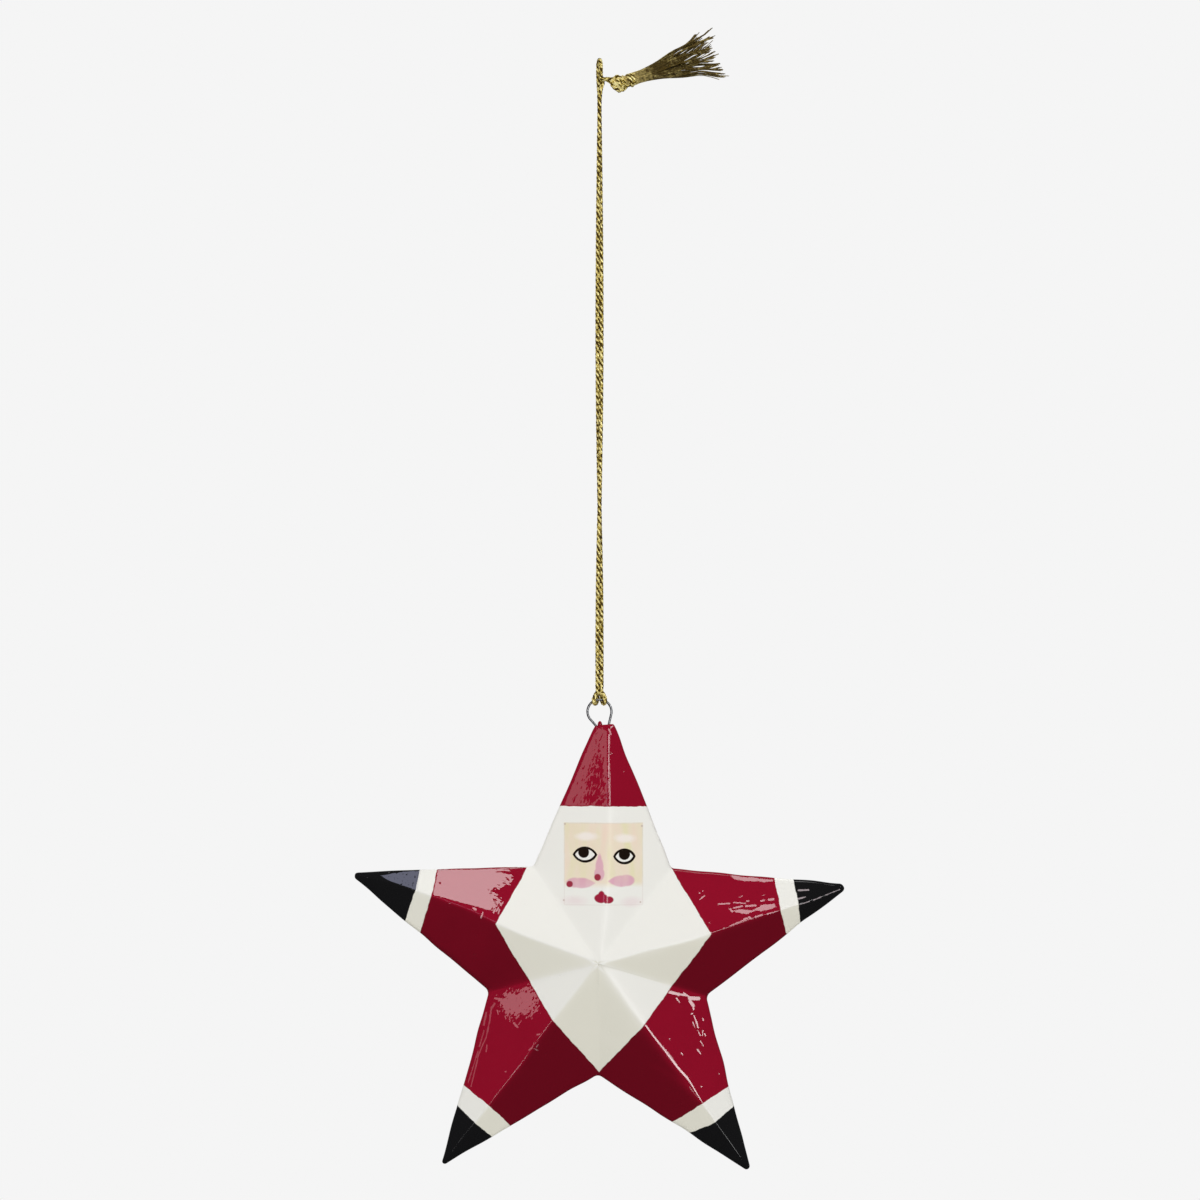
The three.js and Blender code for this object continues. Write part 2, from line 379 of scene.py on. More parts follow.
def growPiece(name, tree, routes, values, turned=Matrix()):
    verts, edges = [], []
    for route in routes:
        first = len(verts)
        verts += [tuple(float(v) for v in p) for p in route]
        edges += [(i, i + 1) for i in range(first, len(verts) - 1)]
    lines = bpy.data.meshes.new(name + "_lines")
    lines.from_pydata(verts, edges, [])
    obj = bpy.data.objects.new(name, lines)
    scene.collection.objects.link(obj)
    modifier = obj.modifiers.new("grow", "NODES")
    modifier.node_group = tree
    for item in tree.interface.items_tree:
        if item.in_out == "INPUT" and item.name in values:
            modifier[item.identifier] = values[item.name]
    grown = obj.evaluated_get(bpy.context.evaluated_depsgraph_get())
    mesh = bpy.data.meshes.new_from_object(grown)
    obj.modifiers.remove(modifier)
    mesh.transform(Matrix.Scale(mm, 4) @ turned)
    obj.data = mesh
    mesh.name = name
    bpy.data.meshes.remove(lines)
    return obj


def cordTree():  # plies laid round each line
    tree, graph, given = newTree("lay_cord", twist)
    curve = graph.add("GeometryNodeMeshToCurve", {}, {"Mesh": given})
    even = {"Curve": curve, "Length": given.also("step")}
    curve = graph.add("GeometryNodeResampleCurve", {"mode": "LENGTH"}, even)
    copies = {"Geometry": curve, "Amount": given.also("plies")}
    plies = graph.add("GeometryNodeDuplicateElements", {"domain": "SPLINE"}, copies)
    done = graph.add("GeometryNodeSplineParameter", {}, (), "Length") / given.also("pitch")
    share = plies.also("Duplicate Index") / given.also("plies")
    turn = (share - done) * (2 * math.pi)
    ahead = graph.add("GeometryNodeInputTangent")
    across = graph.add("GeometryNodeInputNormal")
    up = ahead.vector("CROSS_PRODUCT", across)
    reach = given.also("layRadius")
    right = across.times(turn.maths("COSINE") * reach)
    off = right.vector("ADD", up.times(turn.maths("SINE") * reach))
    moved = graph.add("GeometryNodeSetPosition", {}, {"Geometry": plies, "Offset": off})
    moved = graph.keep(moved, "ply", share)
    finishTree(graph, given, moved, given.also("plyRadius"), 6)
    return tree


def threadTree():  # clumps of fine threads that swell at the head and fan out below it
    tree, graph, given = newTree("fan_threads", skirt)
    golden = math.pi * (3 - math.sqrt(5))
    least, most = (-1, -1, -1), (1, 1, 1)
    perClump = given.also("threads")
    points = graph.add("GeometryNodePoints", {}, {"Count": given.also("clumps") * perClump})
    index = graph.add("GeometryNodeInputIndex")
    clump = (index / perClump).maths("FLOOR")
    member = index - clump * perClump

    def kept(name, kind="FLOAT"):
        return graph.add("GeometryNodeInputNamedAttribute", {"data_type": kind}, {"Name": name})

    def chance(low, high, change, per=index):
        wide = isinstance(low, tuple)
        sockets = {"ID": per, "Seed": given.also("seed") + change}
        sockets.update({0: low, 1: high} if wide else {2: low, 3: high})
        settings = {"data_type": "FLOAT_VECTOR" if wide else "FLOAT"}
        return graph.add("FunctionNodeRandomValue", settings, sockets, 0 if wide else 1)

    side = (clump * 2.0 + 1.0) / given.also("clumps") - 1.0
    room = (1.0 - side * side).maths("SQRT") * given.also("depth")
    points = graph.keep(points, "high", side)
    points = graph.keep(points, "deep", room * (clump * golden).maths("SINE"))
    points = graph.keep(points, "inShare", ((member + 0.5) / perClump).maths("SQRT"))
    points = graph.keep(points, "inAround", member * golden + clump)
    reach = chance(given.also("shortest"), 1.0, 1, clump) * chance(0.94, 1.0, 4)
    points = graph.keep(points, "reach", reach * given.also("length"))
    wild = 1.0 + 4.0 * chance(0.0, 1.0, 5).maths("GREATER_THAN", 0.95)  # a few threads stand off
    points = graph.keep(points, "bend", chance(least, most, 2).times(wild), "FLOAT_VECTOR")
    points = graph.keep(points, "lean", chance(least, most, 3, clump), "FLOAT_VECTOR")
    points = graph.keep(points, "phase", chance(0.0, 2 * math.pi, 6, clump))
    line = graph.add("GeometryNodeCurvePrimitiveLine", {}, {"Start": (0, 0, 0), "End": (1, 0, 0)})
    line = graph.add("GeometryNodeResampleCurve", {"mode": "COUNT"}, {"Curve": line, "Count": 14})
    lines = graph.add("GeometryNodeInstanceOnPoints", {}, {"Points": points, "Instance": line})
    lines = graph.add("GeometryNodeRealizeInstances", {}, {"Geometry": lines})
    part = graph.add("GeometryNodeSplineParameter", {}, (), "Factor")
    x = part * kept("reach")
    inHead = (x / given.also("headLength")).between()
    swell = given.also("headSwell") * (inHead * math.pi).maths("SINE")
    past = (x - given.also("headLength")).most(0.0)
    neck = given.also("headRadius") * (1.0 - inHead) + given.also("rootRadius") * inHead
    wide = neck + swell + past * (given.also("fan") + past * given.also("flare"))
    loose = given.also("clumpSpread") * (1.2 - part * part)
    inOut, inAround = kept("inShare") * (loose + given.also("threadRadius")), kept("inAround")
    y = kept("deep") * wide + inOut * inAround.maths("COSINE")
    z = kept("high") * wide + inOut * inAround.maths("SINE")
    z = z + part * part * given.also("wave") * (part * 13.0 + kept("phase")).maths("SINE")
    place = graph.add("ShaderNodeCombineXYZ", {}, [x, y, z])
    for name, amount in (("bend", "stray"), ("lean", "clumpStray")):
        sway = kept(name, "FLOAT_VECTOR").times(part * part * part * given.also(amount))
        place = place.vector("ADD", sway)
    lines = graph.add("GeometryNodeSetPosition", {}, {"Geometry": lines, "Position": place})
    finishTree(graph, given, lines, given.also("threadRadius"), 3)
    return tree


# materials of the cord and the eye
goldLook = {
    # the pale and dark colours paint glints and shade of the metal thread into the colour
    "pale": (1.0, 0.88, 0.4),
    "gold": (0.57, 0.425, 0.08),
    "dark": (0.065, 0.036, 0.003),
    "metal": 0.35,
    "rough": 0.32,
    "specular": 0.2,
    "glintSpeckle": 0.9,
    "patches": 0.16,
    "darkPly": 0.4,
    "lift": 0.14,
    "cordShine": (1.1, 4.2),  # how bright, how much it varies
    # the knot's brighter copy of the gold is painted light on the knot
    "knotShine": (1.3, 3.8),
}
threadLook = {
    # the ends are darker: partly the threads' own brown, partly painted shade where threads lie over
    # each other
    "root": (0.85, 0.7, 0.26),
    "end": (0.138, 0.091, 0.014),
    "along": (0.951, 0.0, 0.309),
    "from": 4.4,  # mm along, where the colour of the end begins and is full
    "to": 13.6,
    "metal": 0.35,
    "rough": 0.45,
}
steelLook = {"clean": (0.5, 0.51, 0.52), "worn": (0.33, 0.34, 0.35), "rough": 0.45}


def goldCord(name, bright, contrast):
    material, graph = newMaterial(name)
    where = graph.place()
    # noise that paints glints and shade into the colour and also makes the bump
    glint = graph.noise(where, 1500.0, 1.0)
    patch = graph.noise(where, 240.0)
    ply = graph.add("ShaderNodeAttribute", {"attribute_name": "ply"}, (), "Fac")
    dark = (ply * 2.0).maths("FRACT") * 2.0  # every other ply is darker, painted shade for the grooves between plies
    varied = goldLook["glintSpeckle"] * glint + goldLook["patches"] * patch
    shine = bright + contrast * (varied + goldLook["lift"] - goldLook["darkPly"] * dark)
    colour = graph.mixColour(shine.between(), goldLook["dark"], goldLook["gold"])
    colour = graph.mixColour((shine - 1.0).between(), colour, goldLook["pale"])
    sockets = {
        "Base Color": colour,
        "Metallic": goldLook["metal"],
        "Specular IOR Level": goldLook["specular"],
        "Roughness": goldLook["rough"] + 0.14 * patch,
        "Normal": graph.bump(0.5, 0.08, glint),
    }
    finishMaterial(graph, sockets)
    return material


def tasselThread():
    material, graph = newMaterial("tassel_thread")
    where = graph.place()
    out = where.vector("DOT_PRODUCT", threadLook["along"], out=1) / mm
    far = ((out - threadLook["from"]) / (threadLook["to"] - threadLook["from"])).between()
    fine = graph.noise(where, 1500.0)
    wide = graph.noise(where, 420.0)
    # partly painted shade: darker toward the thread ends, mixed with random tone
    toEnd = (far + 0.9 * far * wide + 1.1 * fine).between()
    colour = graph.mixColour(toEnd, threadLook["root"], threadLook["end"])
    sockets = {
        "Base Color": colour,
        "Metallic": threadLook["metal"],
        "Roughness": threadLook["rough"] + 0.1 * fine,
        "Normal": graph.bump(0.4, 0.05, fine),
    }
    finishMaterial(graph, sockets)
    return material


def steelWire():
    material, graph = newMaterial("steel_wire")
    where = graph.place()
    spots = graph.noise(where, 500.0, 3.0, 0.55)
    colour = graph.mixColour((0.5 + 0.6 * spots).between(), steelLook["worn"], steelLook["clean"])
    sockets = {
        "Base Color": colour,
        "Metallic": 1.0,
        "Roughness": steelLook["rough"] + 0.12 * spots,
        "Normal": graph.bump(0.25, 0.05, spots),
    }
    finishMaterial(graph, sockets)
    return material


goldMaterial = goldCord("gold_cord", *goldLook["cordShine"])
knotMaterial = goldCord("gold_knot", *goldLook["knotShine"])
threadMaterial = tasselThread()
steelMaterial = steelWire()

# cord: how it is twisted, and its route in mm, as the solids have it
twist = {"plies": 4, "plyRadius": 0.28, "layRadius": 0.28, "pitch": 3.4, "step": 0.24}
cord = {
    "diameter": 0.95,
    "spacing": 1.0,
    "pairTop": -12.0,
    "spinHeight": -150.0,
    "bendHeight": -155.9,
}
# how the pair twists: share of the way down, degrees round
pairTurns = [
    (0, 270), (0.1, 247), (0.2, 225), (0.3, 202), (0.4, 180), (0.48, 157), (0.56, 135),
    (0.64, 112), (0.72, 90), (0.78, 67), (0.84, 45), (0.9, 22), (0.965, 0), (1, 0),
]
loopPoints = [
    (0.74, -0.6, -4.3), (0.46, -0.76, -3.9), (0.36, -1.2, -3.3), (0.34, -1.82, -2.675),
    (0.33, -2.1, -1.625), (0.28, -1.82, -0.575), (0.16, -1.05, 0.194), (0, 0, 0.475),
    (-0.16, 1.05, 0.194), (-0.28, 1.82, -0.575), (-0.33, 2.1, -1.625), (-0.34, 1.82, -2.675),
    (-0.32, 1.25, -3.45), (-0.28, 0.84, -4.4), (-0.2, 0.66, -5.7), (-0.08, 0.6, -8),
]
returnPoints = [(0.7, 0.44, -4.66), (0.76, 0.02, -5.44), (0.36, -0.46, -6.6), (0.1, -0.58, -8.6)]

# wire eye, from its middle: the legs stand more to the right
eye = {
    "drop": 162.4,
    "lean": 1.0,
    "radius": 3.0,
    "wire": 0.6,
    "opens": (222.0, 237.0),  # degrees where the ring starts, and how far it goes round
    "left": -0.95,
    "right": 2.35,
    "rise": 3.4,
    # each leg from there: across, up
    "leftLeg": [(1.1, -1.2), (0.55, -0.6), (0.0, 0.0)],
    "rightLeg": [(0.0, 0.0), (0.0, -1.0), (0.0, -6.0)],
}

# half of the cow hitch: degrees along the eye, degrees round its wire, mm off a snug turn
hitch = {
    "rise": 6.5,
    "turns": [
        (4.5, 5, 1.86), (5.5, 18, 1.1), (8, 44, 0.5), (11, 90, 0.04), (18, 140, 0.0), (27, 180, 0.0),
        (31, 225, 0.0), (28, 270, 0.0), (23, 310, 0.04), (16, 345, 0.3), (11, 375, 0.8), (6, 400, 1.4),
    ],
    "bar": (0, 412, 1.6),
}


def strand(side):
    reach = side * cord["spacing"] / 2
    fall = cord["spinHeight"] - cord["pairTop"]
    points = []
    for share, turn in pairTurns:
        turn = math.radians(turn)
        height = cord["pairTop"] + share * fall
        points.append((reach * math.cos(turn), reach * math.sin(turn), height))
    return points


def onEye(along, around, off):
    along, around = math.radians(along), math.radians(around)
    out = eye["wire"] / 2 + cord["diameter"] / 2 + off
    reach = eye["radius"] + out * math.cos(around)
    return (reach * math.sin(along), out * math.sin(around), reach * math.cos(along) - eye["drop"])


cordNodes = cordTree()


def layCord(name, *routes, material=goldMaterial):
    return growPiece(name, cordNodes, routes, {**twist, "material": material})


halfGap = cord["spacing"] / 2
loopRoute = smoothRoute([*loopPoints, *strand(-1)], 0.4)
returnRoute = smoothRoute([*returnPoints, *strand(1)], 0.4)
loopStrand = layCord("loop_strand", loopRoute)
returnStrand = layCord("return_strand", returnRoute)
footTop, footEnd = cord["spinHeight"] + 0.1, cord["bendHeight"] - 0.3
leftFoot, rightFoot = [[(x, 0, footTop), (x, 0, footEnd)] for x in (-halfGap, halfGap)]
footLeft = layCord("foot_left_strand", smoothRoute(leftFoot, 0.4))
footRight = layCord("foot_right_strand", smoothRoute(rightFoot, 0.4))

turns = [onEye(*turn) for turn in hitch["turns"]]
rightTurns = [(halfGap, 0, hitch["rise"] - eye["drop"]), *turns]
leftTurns = [(-x, y, z) for x, y, z in reversed(rightTurns)]
hitchRoute = smoothRoute([*rightTurns, onEye(*hitch["bar"]), *leftTurns], 0.2)
hitchTurns = layCord("hitch_turns", hitchRoute)

# tassel: two strands draw into a knot, and their threads fan out from it
tassel = {
    "neckFront": [(1.7, -0.5, -4.3), (3.3, -0.4, -4.4), (4.5, -0.3, -4.9)],
    "neckBack": [(1.7, 0.5, -4.3), (3.3, 0.35, -5.25), (4.5, 0.3, -5.7)],
    # two bights over each other and a collar: middle, axis, turns, half length, radius, start
    "wraps": [
        ((4.9, 0, -5.4), (0.8, 0.25, 0.55), 2.4, 1.05, 1.8, 0.6),
        ((4.9, 0, -5.4), (0.3, -0.85, 0.45), 1.3, 0.55, 1.86, 2.4),
        ((7.75, 0, -4.55), (0.951, 0.12, 0.309), 2.1, 0.9, 1.32, 1.0),
    ],
    "wrapSteps": 28,  # points in a turn
    "core": ((4.9, 0, -5.4), (1.95, 1.9, 2.0)),
    "threadsFrom": (6.3, 0, -5.0),
    "rise": 19.0,
}
skirt = {
    "clumps": 34,
    "threads": 6,
    "depth": 0.6,
    "headRadius": 1.1,
    "headSwell": 0.25,
    "headLength": 4.0,
    "rootRadius": 1.22,
    "fan": 0.143,
    "flare": 0.0058,
    "clumpSpread": 0.17,
    "length": 25.3,
    "shortest": 0.86,
    "stray": 0.2,
    "clumpStray": 0.6,
    "wave": 0.5,
    "threadRadius": 0.1,
    "seed": 4,
}


def knotWraps():
    routes = []
    for middle, axis, turns, height, reach, start in tassel["wraps"]:
        axis = unit(np.array(axis))
        first = unit(np.cross(axis, (0, 0, 1)))
        second = np.cross(axis, first)
        steps = round(turns * tassel["wrapSteps"])
        route = []
        for i in range(steps + 1):
            turn = start + 2 * math.pi * turns * i / steps
            along = height * (2 * i / steps - 1)
            out = math.sqrt(reach**2 - along**2)
            around = math.cos(turn) * first + math.sin(turn) * second
            route.append(np.array(middle) + along * axis + out * around)
        routes.append(route)
    return routes


necks = [
    smoothRoute([points[1], points[0], *tassel[neck]], 0.25)
    for points, neck in ((loopPoints, "neckFront"), (returnPoints, "neckBack"))
]
neckStrands = layCord("neck_strands", *necks)
knot = layCord("knot_wraps", *knotWraps(), material=knotMaterial)
lifted = Matrix.Rotation(-math.radians(tassel["rise"]), 4, "Y")
lifted = Matrix.Translation(tassel["threadsFrom"]) @ lifted
skirtValues = {**skirt, "material": threadMaterial}
threads = growPiece("tassel_threads", threadTree(), [[(0, 0, 0)]], skirtValues, lifted)


def swellKnot(obj):  # a core inside the wraps
    verts, faces = roundLump(*tassel["core"])
    core = bpy.data.meshes.new("core")
    core.from_pydata([tuple(v * mm) for v in verts], [], faces)
    joined = bmesh.new()
    joined.from_mesh(obj.data)
    joined.from_mesh(core)
    joined.to_mesh(obj.data)
    joined.free()
    bpy.data.meshes.remove(core)
    obj.data.polygons.foreach_set("use_smooth", [True] * len(obj.data.polygons))


swellKnot(knot)

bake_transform(loopStrand)
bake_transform(returnStrand)
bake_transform(footLeft)
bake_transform(footRight)
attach(hitchTurns, "hitch")
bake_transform(neckStrands)
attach(knot, "tassel")
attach(threads, "tassel")
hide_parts("cord_loop")
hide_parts("cord_return")
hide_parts("cord_foot_left")
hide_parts("cord_foot_right")
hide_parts("cord_hitch")
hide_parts("tassel_knot")
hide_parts("tassel_skirt")
print("cord lengths in mm:", round(routeLength(loopRoute), 1), round(routeLength(returnRoute), 1))
[tuple(p * mm) for p in loopRoute]
[tuple(p * mm) for p in returnRoute]
print("cord laid")


def leant(x, y, z):  # from the middle of the eye to the part's frame
    turn = math.radians(eye["lean"])
    return (
        x * math.cos(turn) + z * math.sin(turn),
        y,
        z * math.cos(turn) - x * math.sin(turn) - eye["drop"],
    )


def wireEye():
    points = [(eye["left"] + x, 0, z - eye["rise"]) for x, z in eye["leftLeg"]]
    start, sweep = eye["opens"]
    for share in np.linspace(0, 1, 25):
        turn = math.radians(start - sweep * share)
        points.append((eye["radius"] * math.cos(turn), 0, eye["radius"] * math.sin(turn)))
    points += [(eye["right"] + x, 0, z - eye["rise"]) for x, z in eye["rightLeg"]]
    route = smoothRoute([leant(*p) for p in points], 0.22)
    verts, faces = wireTube(route, eye["wire"] / 2, 14)
    return meshPiece("eye_wire", [v * mm for v in verts], faces, steelMaterial)


eyeWire = wireEye()
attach(eyeWire, "star")
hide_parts("hanger_eye")
print("eye bent")

# star: its corners in mm (x, z), from the hat clockwise, tips and notches by turns
star = {
    "middle": (-0.375, -224.75),
    "corners": [
        (1.31, -159.85), (18.06, -201.71), (63.34, -205.48), (26.59, -233.47), (38.01, -277.8),
        (-0.47, -253.07), (-39.86, -276.27), (-27.52, -232.36), (-63.01, -202.64), (-16.45, -200.97),
    ],
    "round": [1.0, 1.2, 1.25, 2.0, 0.85, 2.0, 0.75, 2.0, 0.98, 1.2],
    "height": 13.0,
    "rim": 1.3,
    "nose": 0.7,
    "reach": 24.77,  # from the middle to an edge
    "tipHalf": 22.4,  # half the angle at a tip and at a notch, in degrees
    "notchHalf": 121.6,
    # share of the way out where the outline rounds and the ridges turn keener, and over how much
    "bluntFrom": (0.955, 0.03),
    "keenFrom": (0.57, 0.12),
    "ridgeRound": [0.8, 0.6, 1.25, 0.5, 0.4],  # hat, arm, leg, leg, arm
    "keener": [0.0, 0.5, 0.88, 0.3, 0.5],  # how much of that goes toward the tips
    "ridgeShare": 0.924,  # how far the rounding lowers a ridge and lifts a valley
    "valleyShare": 0.52,
    "valleyRound": 0.75,
    "dimple": (0.35, 0.55),  # depth, radius
    "crown": (-165.55, 0.07, 1.0),  # the cut across the hat: height, slope, x of that height
    "crownRound": 0.45,
    # thick paint round the wire: middle, radii
    "lumps": [((0.1, 0.0, -165.8), (0.6, 0.7, 1.05))],
    # how far each ridge strays to its right, seen from the middle: share of the way out, mm
    "stray": [
        [
            (0, 0), (0.14, 1.05), (0.25, 1.42), (0.43, 1.75), (0.6, 1.7), (0.75, 1.15), (0.91, 1.0),
            (1, 1.0),
        ],
        [
            (0, 0), (0.42, 1.35), (0.5, 0.9), (0.58, 0.55), (0.64, 0.55), (0.72, 1.0), (0.76, 1.05),
            (0.85, 0.7), (1, 0),
        ],
        [(0, 0), (0.35, 0.3), (0.6, -0.4), (1, 0)],
        [(0, 0), (0.35, 0.1), (0.55, -0.45), (0.8, -0.2), (1, 0)],
        [
            (0, 0), (0.41, 0.6), (0.46, 1.5), (0.52, 2.05), (0.6, 1.9), (0.68, 1.6), (0.76, 1.8),
            (1, 0),
        ],
    ],
    "steps": 48,
    "rings": 40,
    # unevenness of the facets, and how ridges and rim waver: mm, how often
    "wobble": [(0.02, 0.07), (0.005, 0.26)],
    "ridgeWobble": (0.28, 0.13),
}


# the rounded and the sharp outline, the share from tip to notch, each edge's length and point
def starOutline():
    corners = [np.array(c) for c in star["corners"]]
    count = len(corners)
    uniform = np.linspace(0, 1, star["steps"] + 1)[:-1]
    spread = 0.15 * uniform + 0.85 * (0.5 - 0.5 * np.cos(math.pi * uniform))
    rounded, sharp, share, edge, limb = [], [], [], [], []
    for i, corner in enumerate(corners):
        other = corners[(i + 1) % count]
        length = np.linalg.norm(other - corner)
        for t in spread:
            rounded.append(roundedPoint(corners, i, t * length, length))
            sharp.append(corner + (other - corner) * t)
            share.append(t if i % 2 == 0 else 1 - t)
            edge.append(length)
            limb.append(((i + 1) // 2) % (count // 2))
    return [np.array(made) for made in (rounded, sharp, share, edge, limb)]


def roundedPoint(corners, i, along, length):
    count = len(corners)
    for place, reach in ((i, along), ((i + 1) % count, length - along)):
        here = corners[place]
        before, after = unit(corners[place - 1] - here), unit(corners[(place + 1) % count] - here)
        inward = unit(before + after)
        half = math.acos(float(np.clip(before.dot(after), -1, 1))) / 2
        radius = star["round"][place]
        tangent = radius / math.tan(half)
        if reach < tangent:
            toward = after if place == i else before
            lateral = unit(toward - inward * toward.dot(inward))
            turn = (math.pi / 2 - half) * reach / tangent
            middle = here + inward * radius / math.sin(half)
            return middle + radius * (lateral * math.sin(turn) - inward * math.cos(turn))
    ahead = unit(corners[(i + 1) % count] - corners[i])
    return corners[i] + ahead * along


def ringProfile():  # rings from the middle of the rim to the top: share of the outline, height
    slope = star["height"] - star["rim"]
    reach, nose = star["reach"], star["nose"]
    noseHeight = star["rim"] + slope * nose / reach
    rings = []
    for t in np.linspace(1, 0, 9)[:-1]:  # the rounded rim
        inward = (1 - t) ** 2 * nose
        height = (1 - t) ** 2 * noseHeight + 2 * t * (1 - t) * star["rim"]
        rings.append((1 - inward / reach, height))
    for t in np.linspace(0, 1, star["rings"]):  # the facet
        inward = nose + (reach * 0.996 - nose) * t
        rings.append((1 - inward / reach, star["rim"] + slope * inward / reach))
    return rings


def strayCurve(points):  # a smooth curve through about the given strays
    end = points[-1][1]
    before = [(-a, -v) for a, v in reversed(points[1:])]
    after = [(2 - a, 2 * end - v) for a, v in reversed(points[:-1])]
    places = np.linspace(-0.5, 1.5, 401)
    values = np.interp(places, *zip(*before, *points, *after))
    weights = np.exp(-0.5 * (np.arange(-45, 46) / 13.0) ** 2)
    return places, np.convolve(values, weights / weights.sum(), "same")


def strayRidges(flat, limb, strays):  # the points moved with the ridges
    middle = np.array(star["middle"])
    corners = [np.array(corner) - middle for corner in star["corners"]]
    place = flat.copy()
    for k, stray in enumerate(strays):
        mine = limb == k
        full = np.linalg.norm(corners[2 * k])
        axis = corners[2 * k] / full
        right = np.array((axis[1], -axis[0]))
        ahead, sideways = (flat[mine] - middle) @ axis, (flat[mine] - middle) @ right
        widths = []
        for notch in (corners[2 * k + 1], corners[2 * k - 1]):
            reach, wide = float(notch @ axis), abs(float(notch @ right))
            inner = wide * ahead / reach
            outer = wide * (full - ahead) / (full - reach)
            widths.append(np.maximum(np.minimum(inner, outer), 1e-3))
        room = np.where(sideways > 0, *widths)
        weight = np.clip(1 - np.abs(sideways) / room, 0, 1)
        place[mine] += np.outer(np.interp(ahead / full, *stray) * weight, right)
    return place


def starMesh():
    rounded, sharp, share, edge, limb = starOutline()
    middle = np.array(star["middle"])
    slope = (star["height"] - star["rim"]) / star["reach"]
    rings = ringProfile()
    count = len(rounded)
    profile = [(s, -y) for s, y in reversed(rings)] + [(s, y) for s, y in rings[1:]]
    soft, keener = np.array(star["ridgeRound"])[limb], np.array(star["keener"])[limb]
    tipSine, notchSine = [math.sin(math.radians(star[key])) for key in ("tipHalf", "notchHalf")]
    (bluntAt, bluntOver), (keenAt, keenOver) = star["bluntFrom"], star["keenFrom"]
    dimple, dimpleRadius = star["dimple"]
    level, tilt, across = star["crown"]
    strays = [strayCurve(points) for points in star["stray"]]
    waver, often = star["ridgeWobble"]
    verts = []
    for s, y in profile:
        blunt = float(np.clip((s - bluntAt) / bluntOver, 0, 1))
        flat = middle + s * (sharp + (rounded - sharp) * blunt - middle)
        ridgeOff, valleyOff = s * share * edge * tipSine, s * (1 - share) * edge * notchSine
        ease = np.clip(abs(y) / 3, 0, 1) * (1 - blunt)
        keen = soft * (1 - keener * np.clip((s - keenAt) / keenOver, 0, 1))
        lower = star["ridgeShare"] * slope * (np.sqrt(ridgeOff**2 + keen**2) - ridgeOff)
        hollow = np.sqrt(valleyOff**2 + star["valleyRound"] ** 2) - valleyOff
        lift = star["valleyShare"] * slope * hollow
        away = np.linalg.norm(flat - middle, axis=1)
        high = np.abs(y) + ease * (lift - lower) - dimple * np.exp(-((away / dimpleRadius) ** 2))
        place = strayRidges(flat, limb, strays)
        past = place[:, 1] - level - tilt * (place[:, 0] - across)
        place[:, 1] -= 0.5 * (past + np.sqrt(past**2 + star["crownRound"] ** 2))
        sign = 1 if y > 0 else -1
        atRim = np.clip((s - 0.95) / 0.04, 0, 1)
        loose = np.maximum(np.exp(-((ridgeOff / 1.3) ** 2)), atRim)
        for (x, z), h, give in zip(place, high, loose):
            at = Vector((x, 40.0 * sign, z))
            rough = sum(size * noise.noise(at * fine) for size, fine in star["wobble"])
            dx = give * waver * noise.noise(Vector((x, 7, z)) * often)
            dz = give * waver * noise.noise(Vector((x, 93, z)) * often)
            verts.append((x + dx, sign * (h + rough * min(1.0, h / 3)), z + dz))
    faces = bandFaces(len(profile), count)
    for base, turn in ((0, 1), ((len(profile) - 1) * count, -1)):
        loop = np.array(verts[base:base + count])
        verts.append(tuple(loop.mean(axis=0)))
        peak = len(verts) - 1
        for i in range(count):
            faces.append((peak, base + (i + 1) % count, base + i)[::turn])
    for lump, radii in star["lumps"]:
        more, sides = roundLump(lump, radii)
        faces += [tuple(len(verts) + i for i in side) for side in sides]
        verts += [tuple(v) for v in more]
    return verts, faces


# paint: corners of the coloured areas in mm (x, z)
paint = {
    "red": (0.265, 0.0045, 0.02),
    # the second red and the warm white are painted shade for faces that look down
    "shadedRed": (0.145, 0.0035, 0.0115),
    "white": (0.81, 0.8, 0.75),
    "shadedWarmWhite": (0.82, 0.8, 0.69),
    "black": (0.0075, 0.0075, 0.008),
    "skin": (0.77, 0.67, 0.49),
    "palerSkin": (0.8, 0.7, 0.57),
    "yellowSkin": (0.74, 0.69, 0.42),
    "rosySkin": (0.82, 0.64, 0.52),
    "edgeLine": (0.5, 0.38, 0.32),
    "pink": (0.68, 0.36, 0.45),
    "lips": (0.33, 0.01, 0.038),
    "eyeBlack": (0.011, 0.0065, 0.0045),
    "brow": (0.86, 0.79, 0.74),
    "hat": ((-9.4, -185.9), (11.7, -186.1)),
    "beard": [
        (-17.83, -200.9), (-25.9, -215.2), (-11.6, -239.3), (-0.1, -252.3), (10.8, -240.7),
        (27.7, -217.7), (18.55, -202.4),
    ],
    "shoulder": -201.3,  # the white of the head begins above this
    # red to white and white to black, on the two arms and the two legs
    "cuffs": [
        [
            [(-40.6, -202.2), (-42.0, -208.5), (-44.8, -217.1)],
            [(-45.1, -202.5), (-45.8, -206.6), (-48.4, -214.4)],
        ],
        [
            [(46.8, -217.8), (45.3, -212.0), (43.75, -204.1)],
            [(50.2, -215.1), (49.55, -210.5), (48.5, -204.7)],
        ],
        [
            [(-33.8, -255.9), (-27.4, -260.7), (-22.4, -265.7)],
            [(-35.15, -261.0), (-31.0, -265.05), (-26.9, -268.4)],
        ],
        [
            [(18.45, -264.8), (25.4, -260.3), (32.35, -256.05)],
            [(22.6, -267.7), (28.7, -264.8), (33.45, -261.05)],
        ],
    ],
    "edge": 0.14,  # how soft the edges are, and how far they waver
    "wave": 0.32,
}

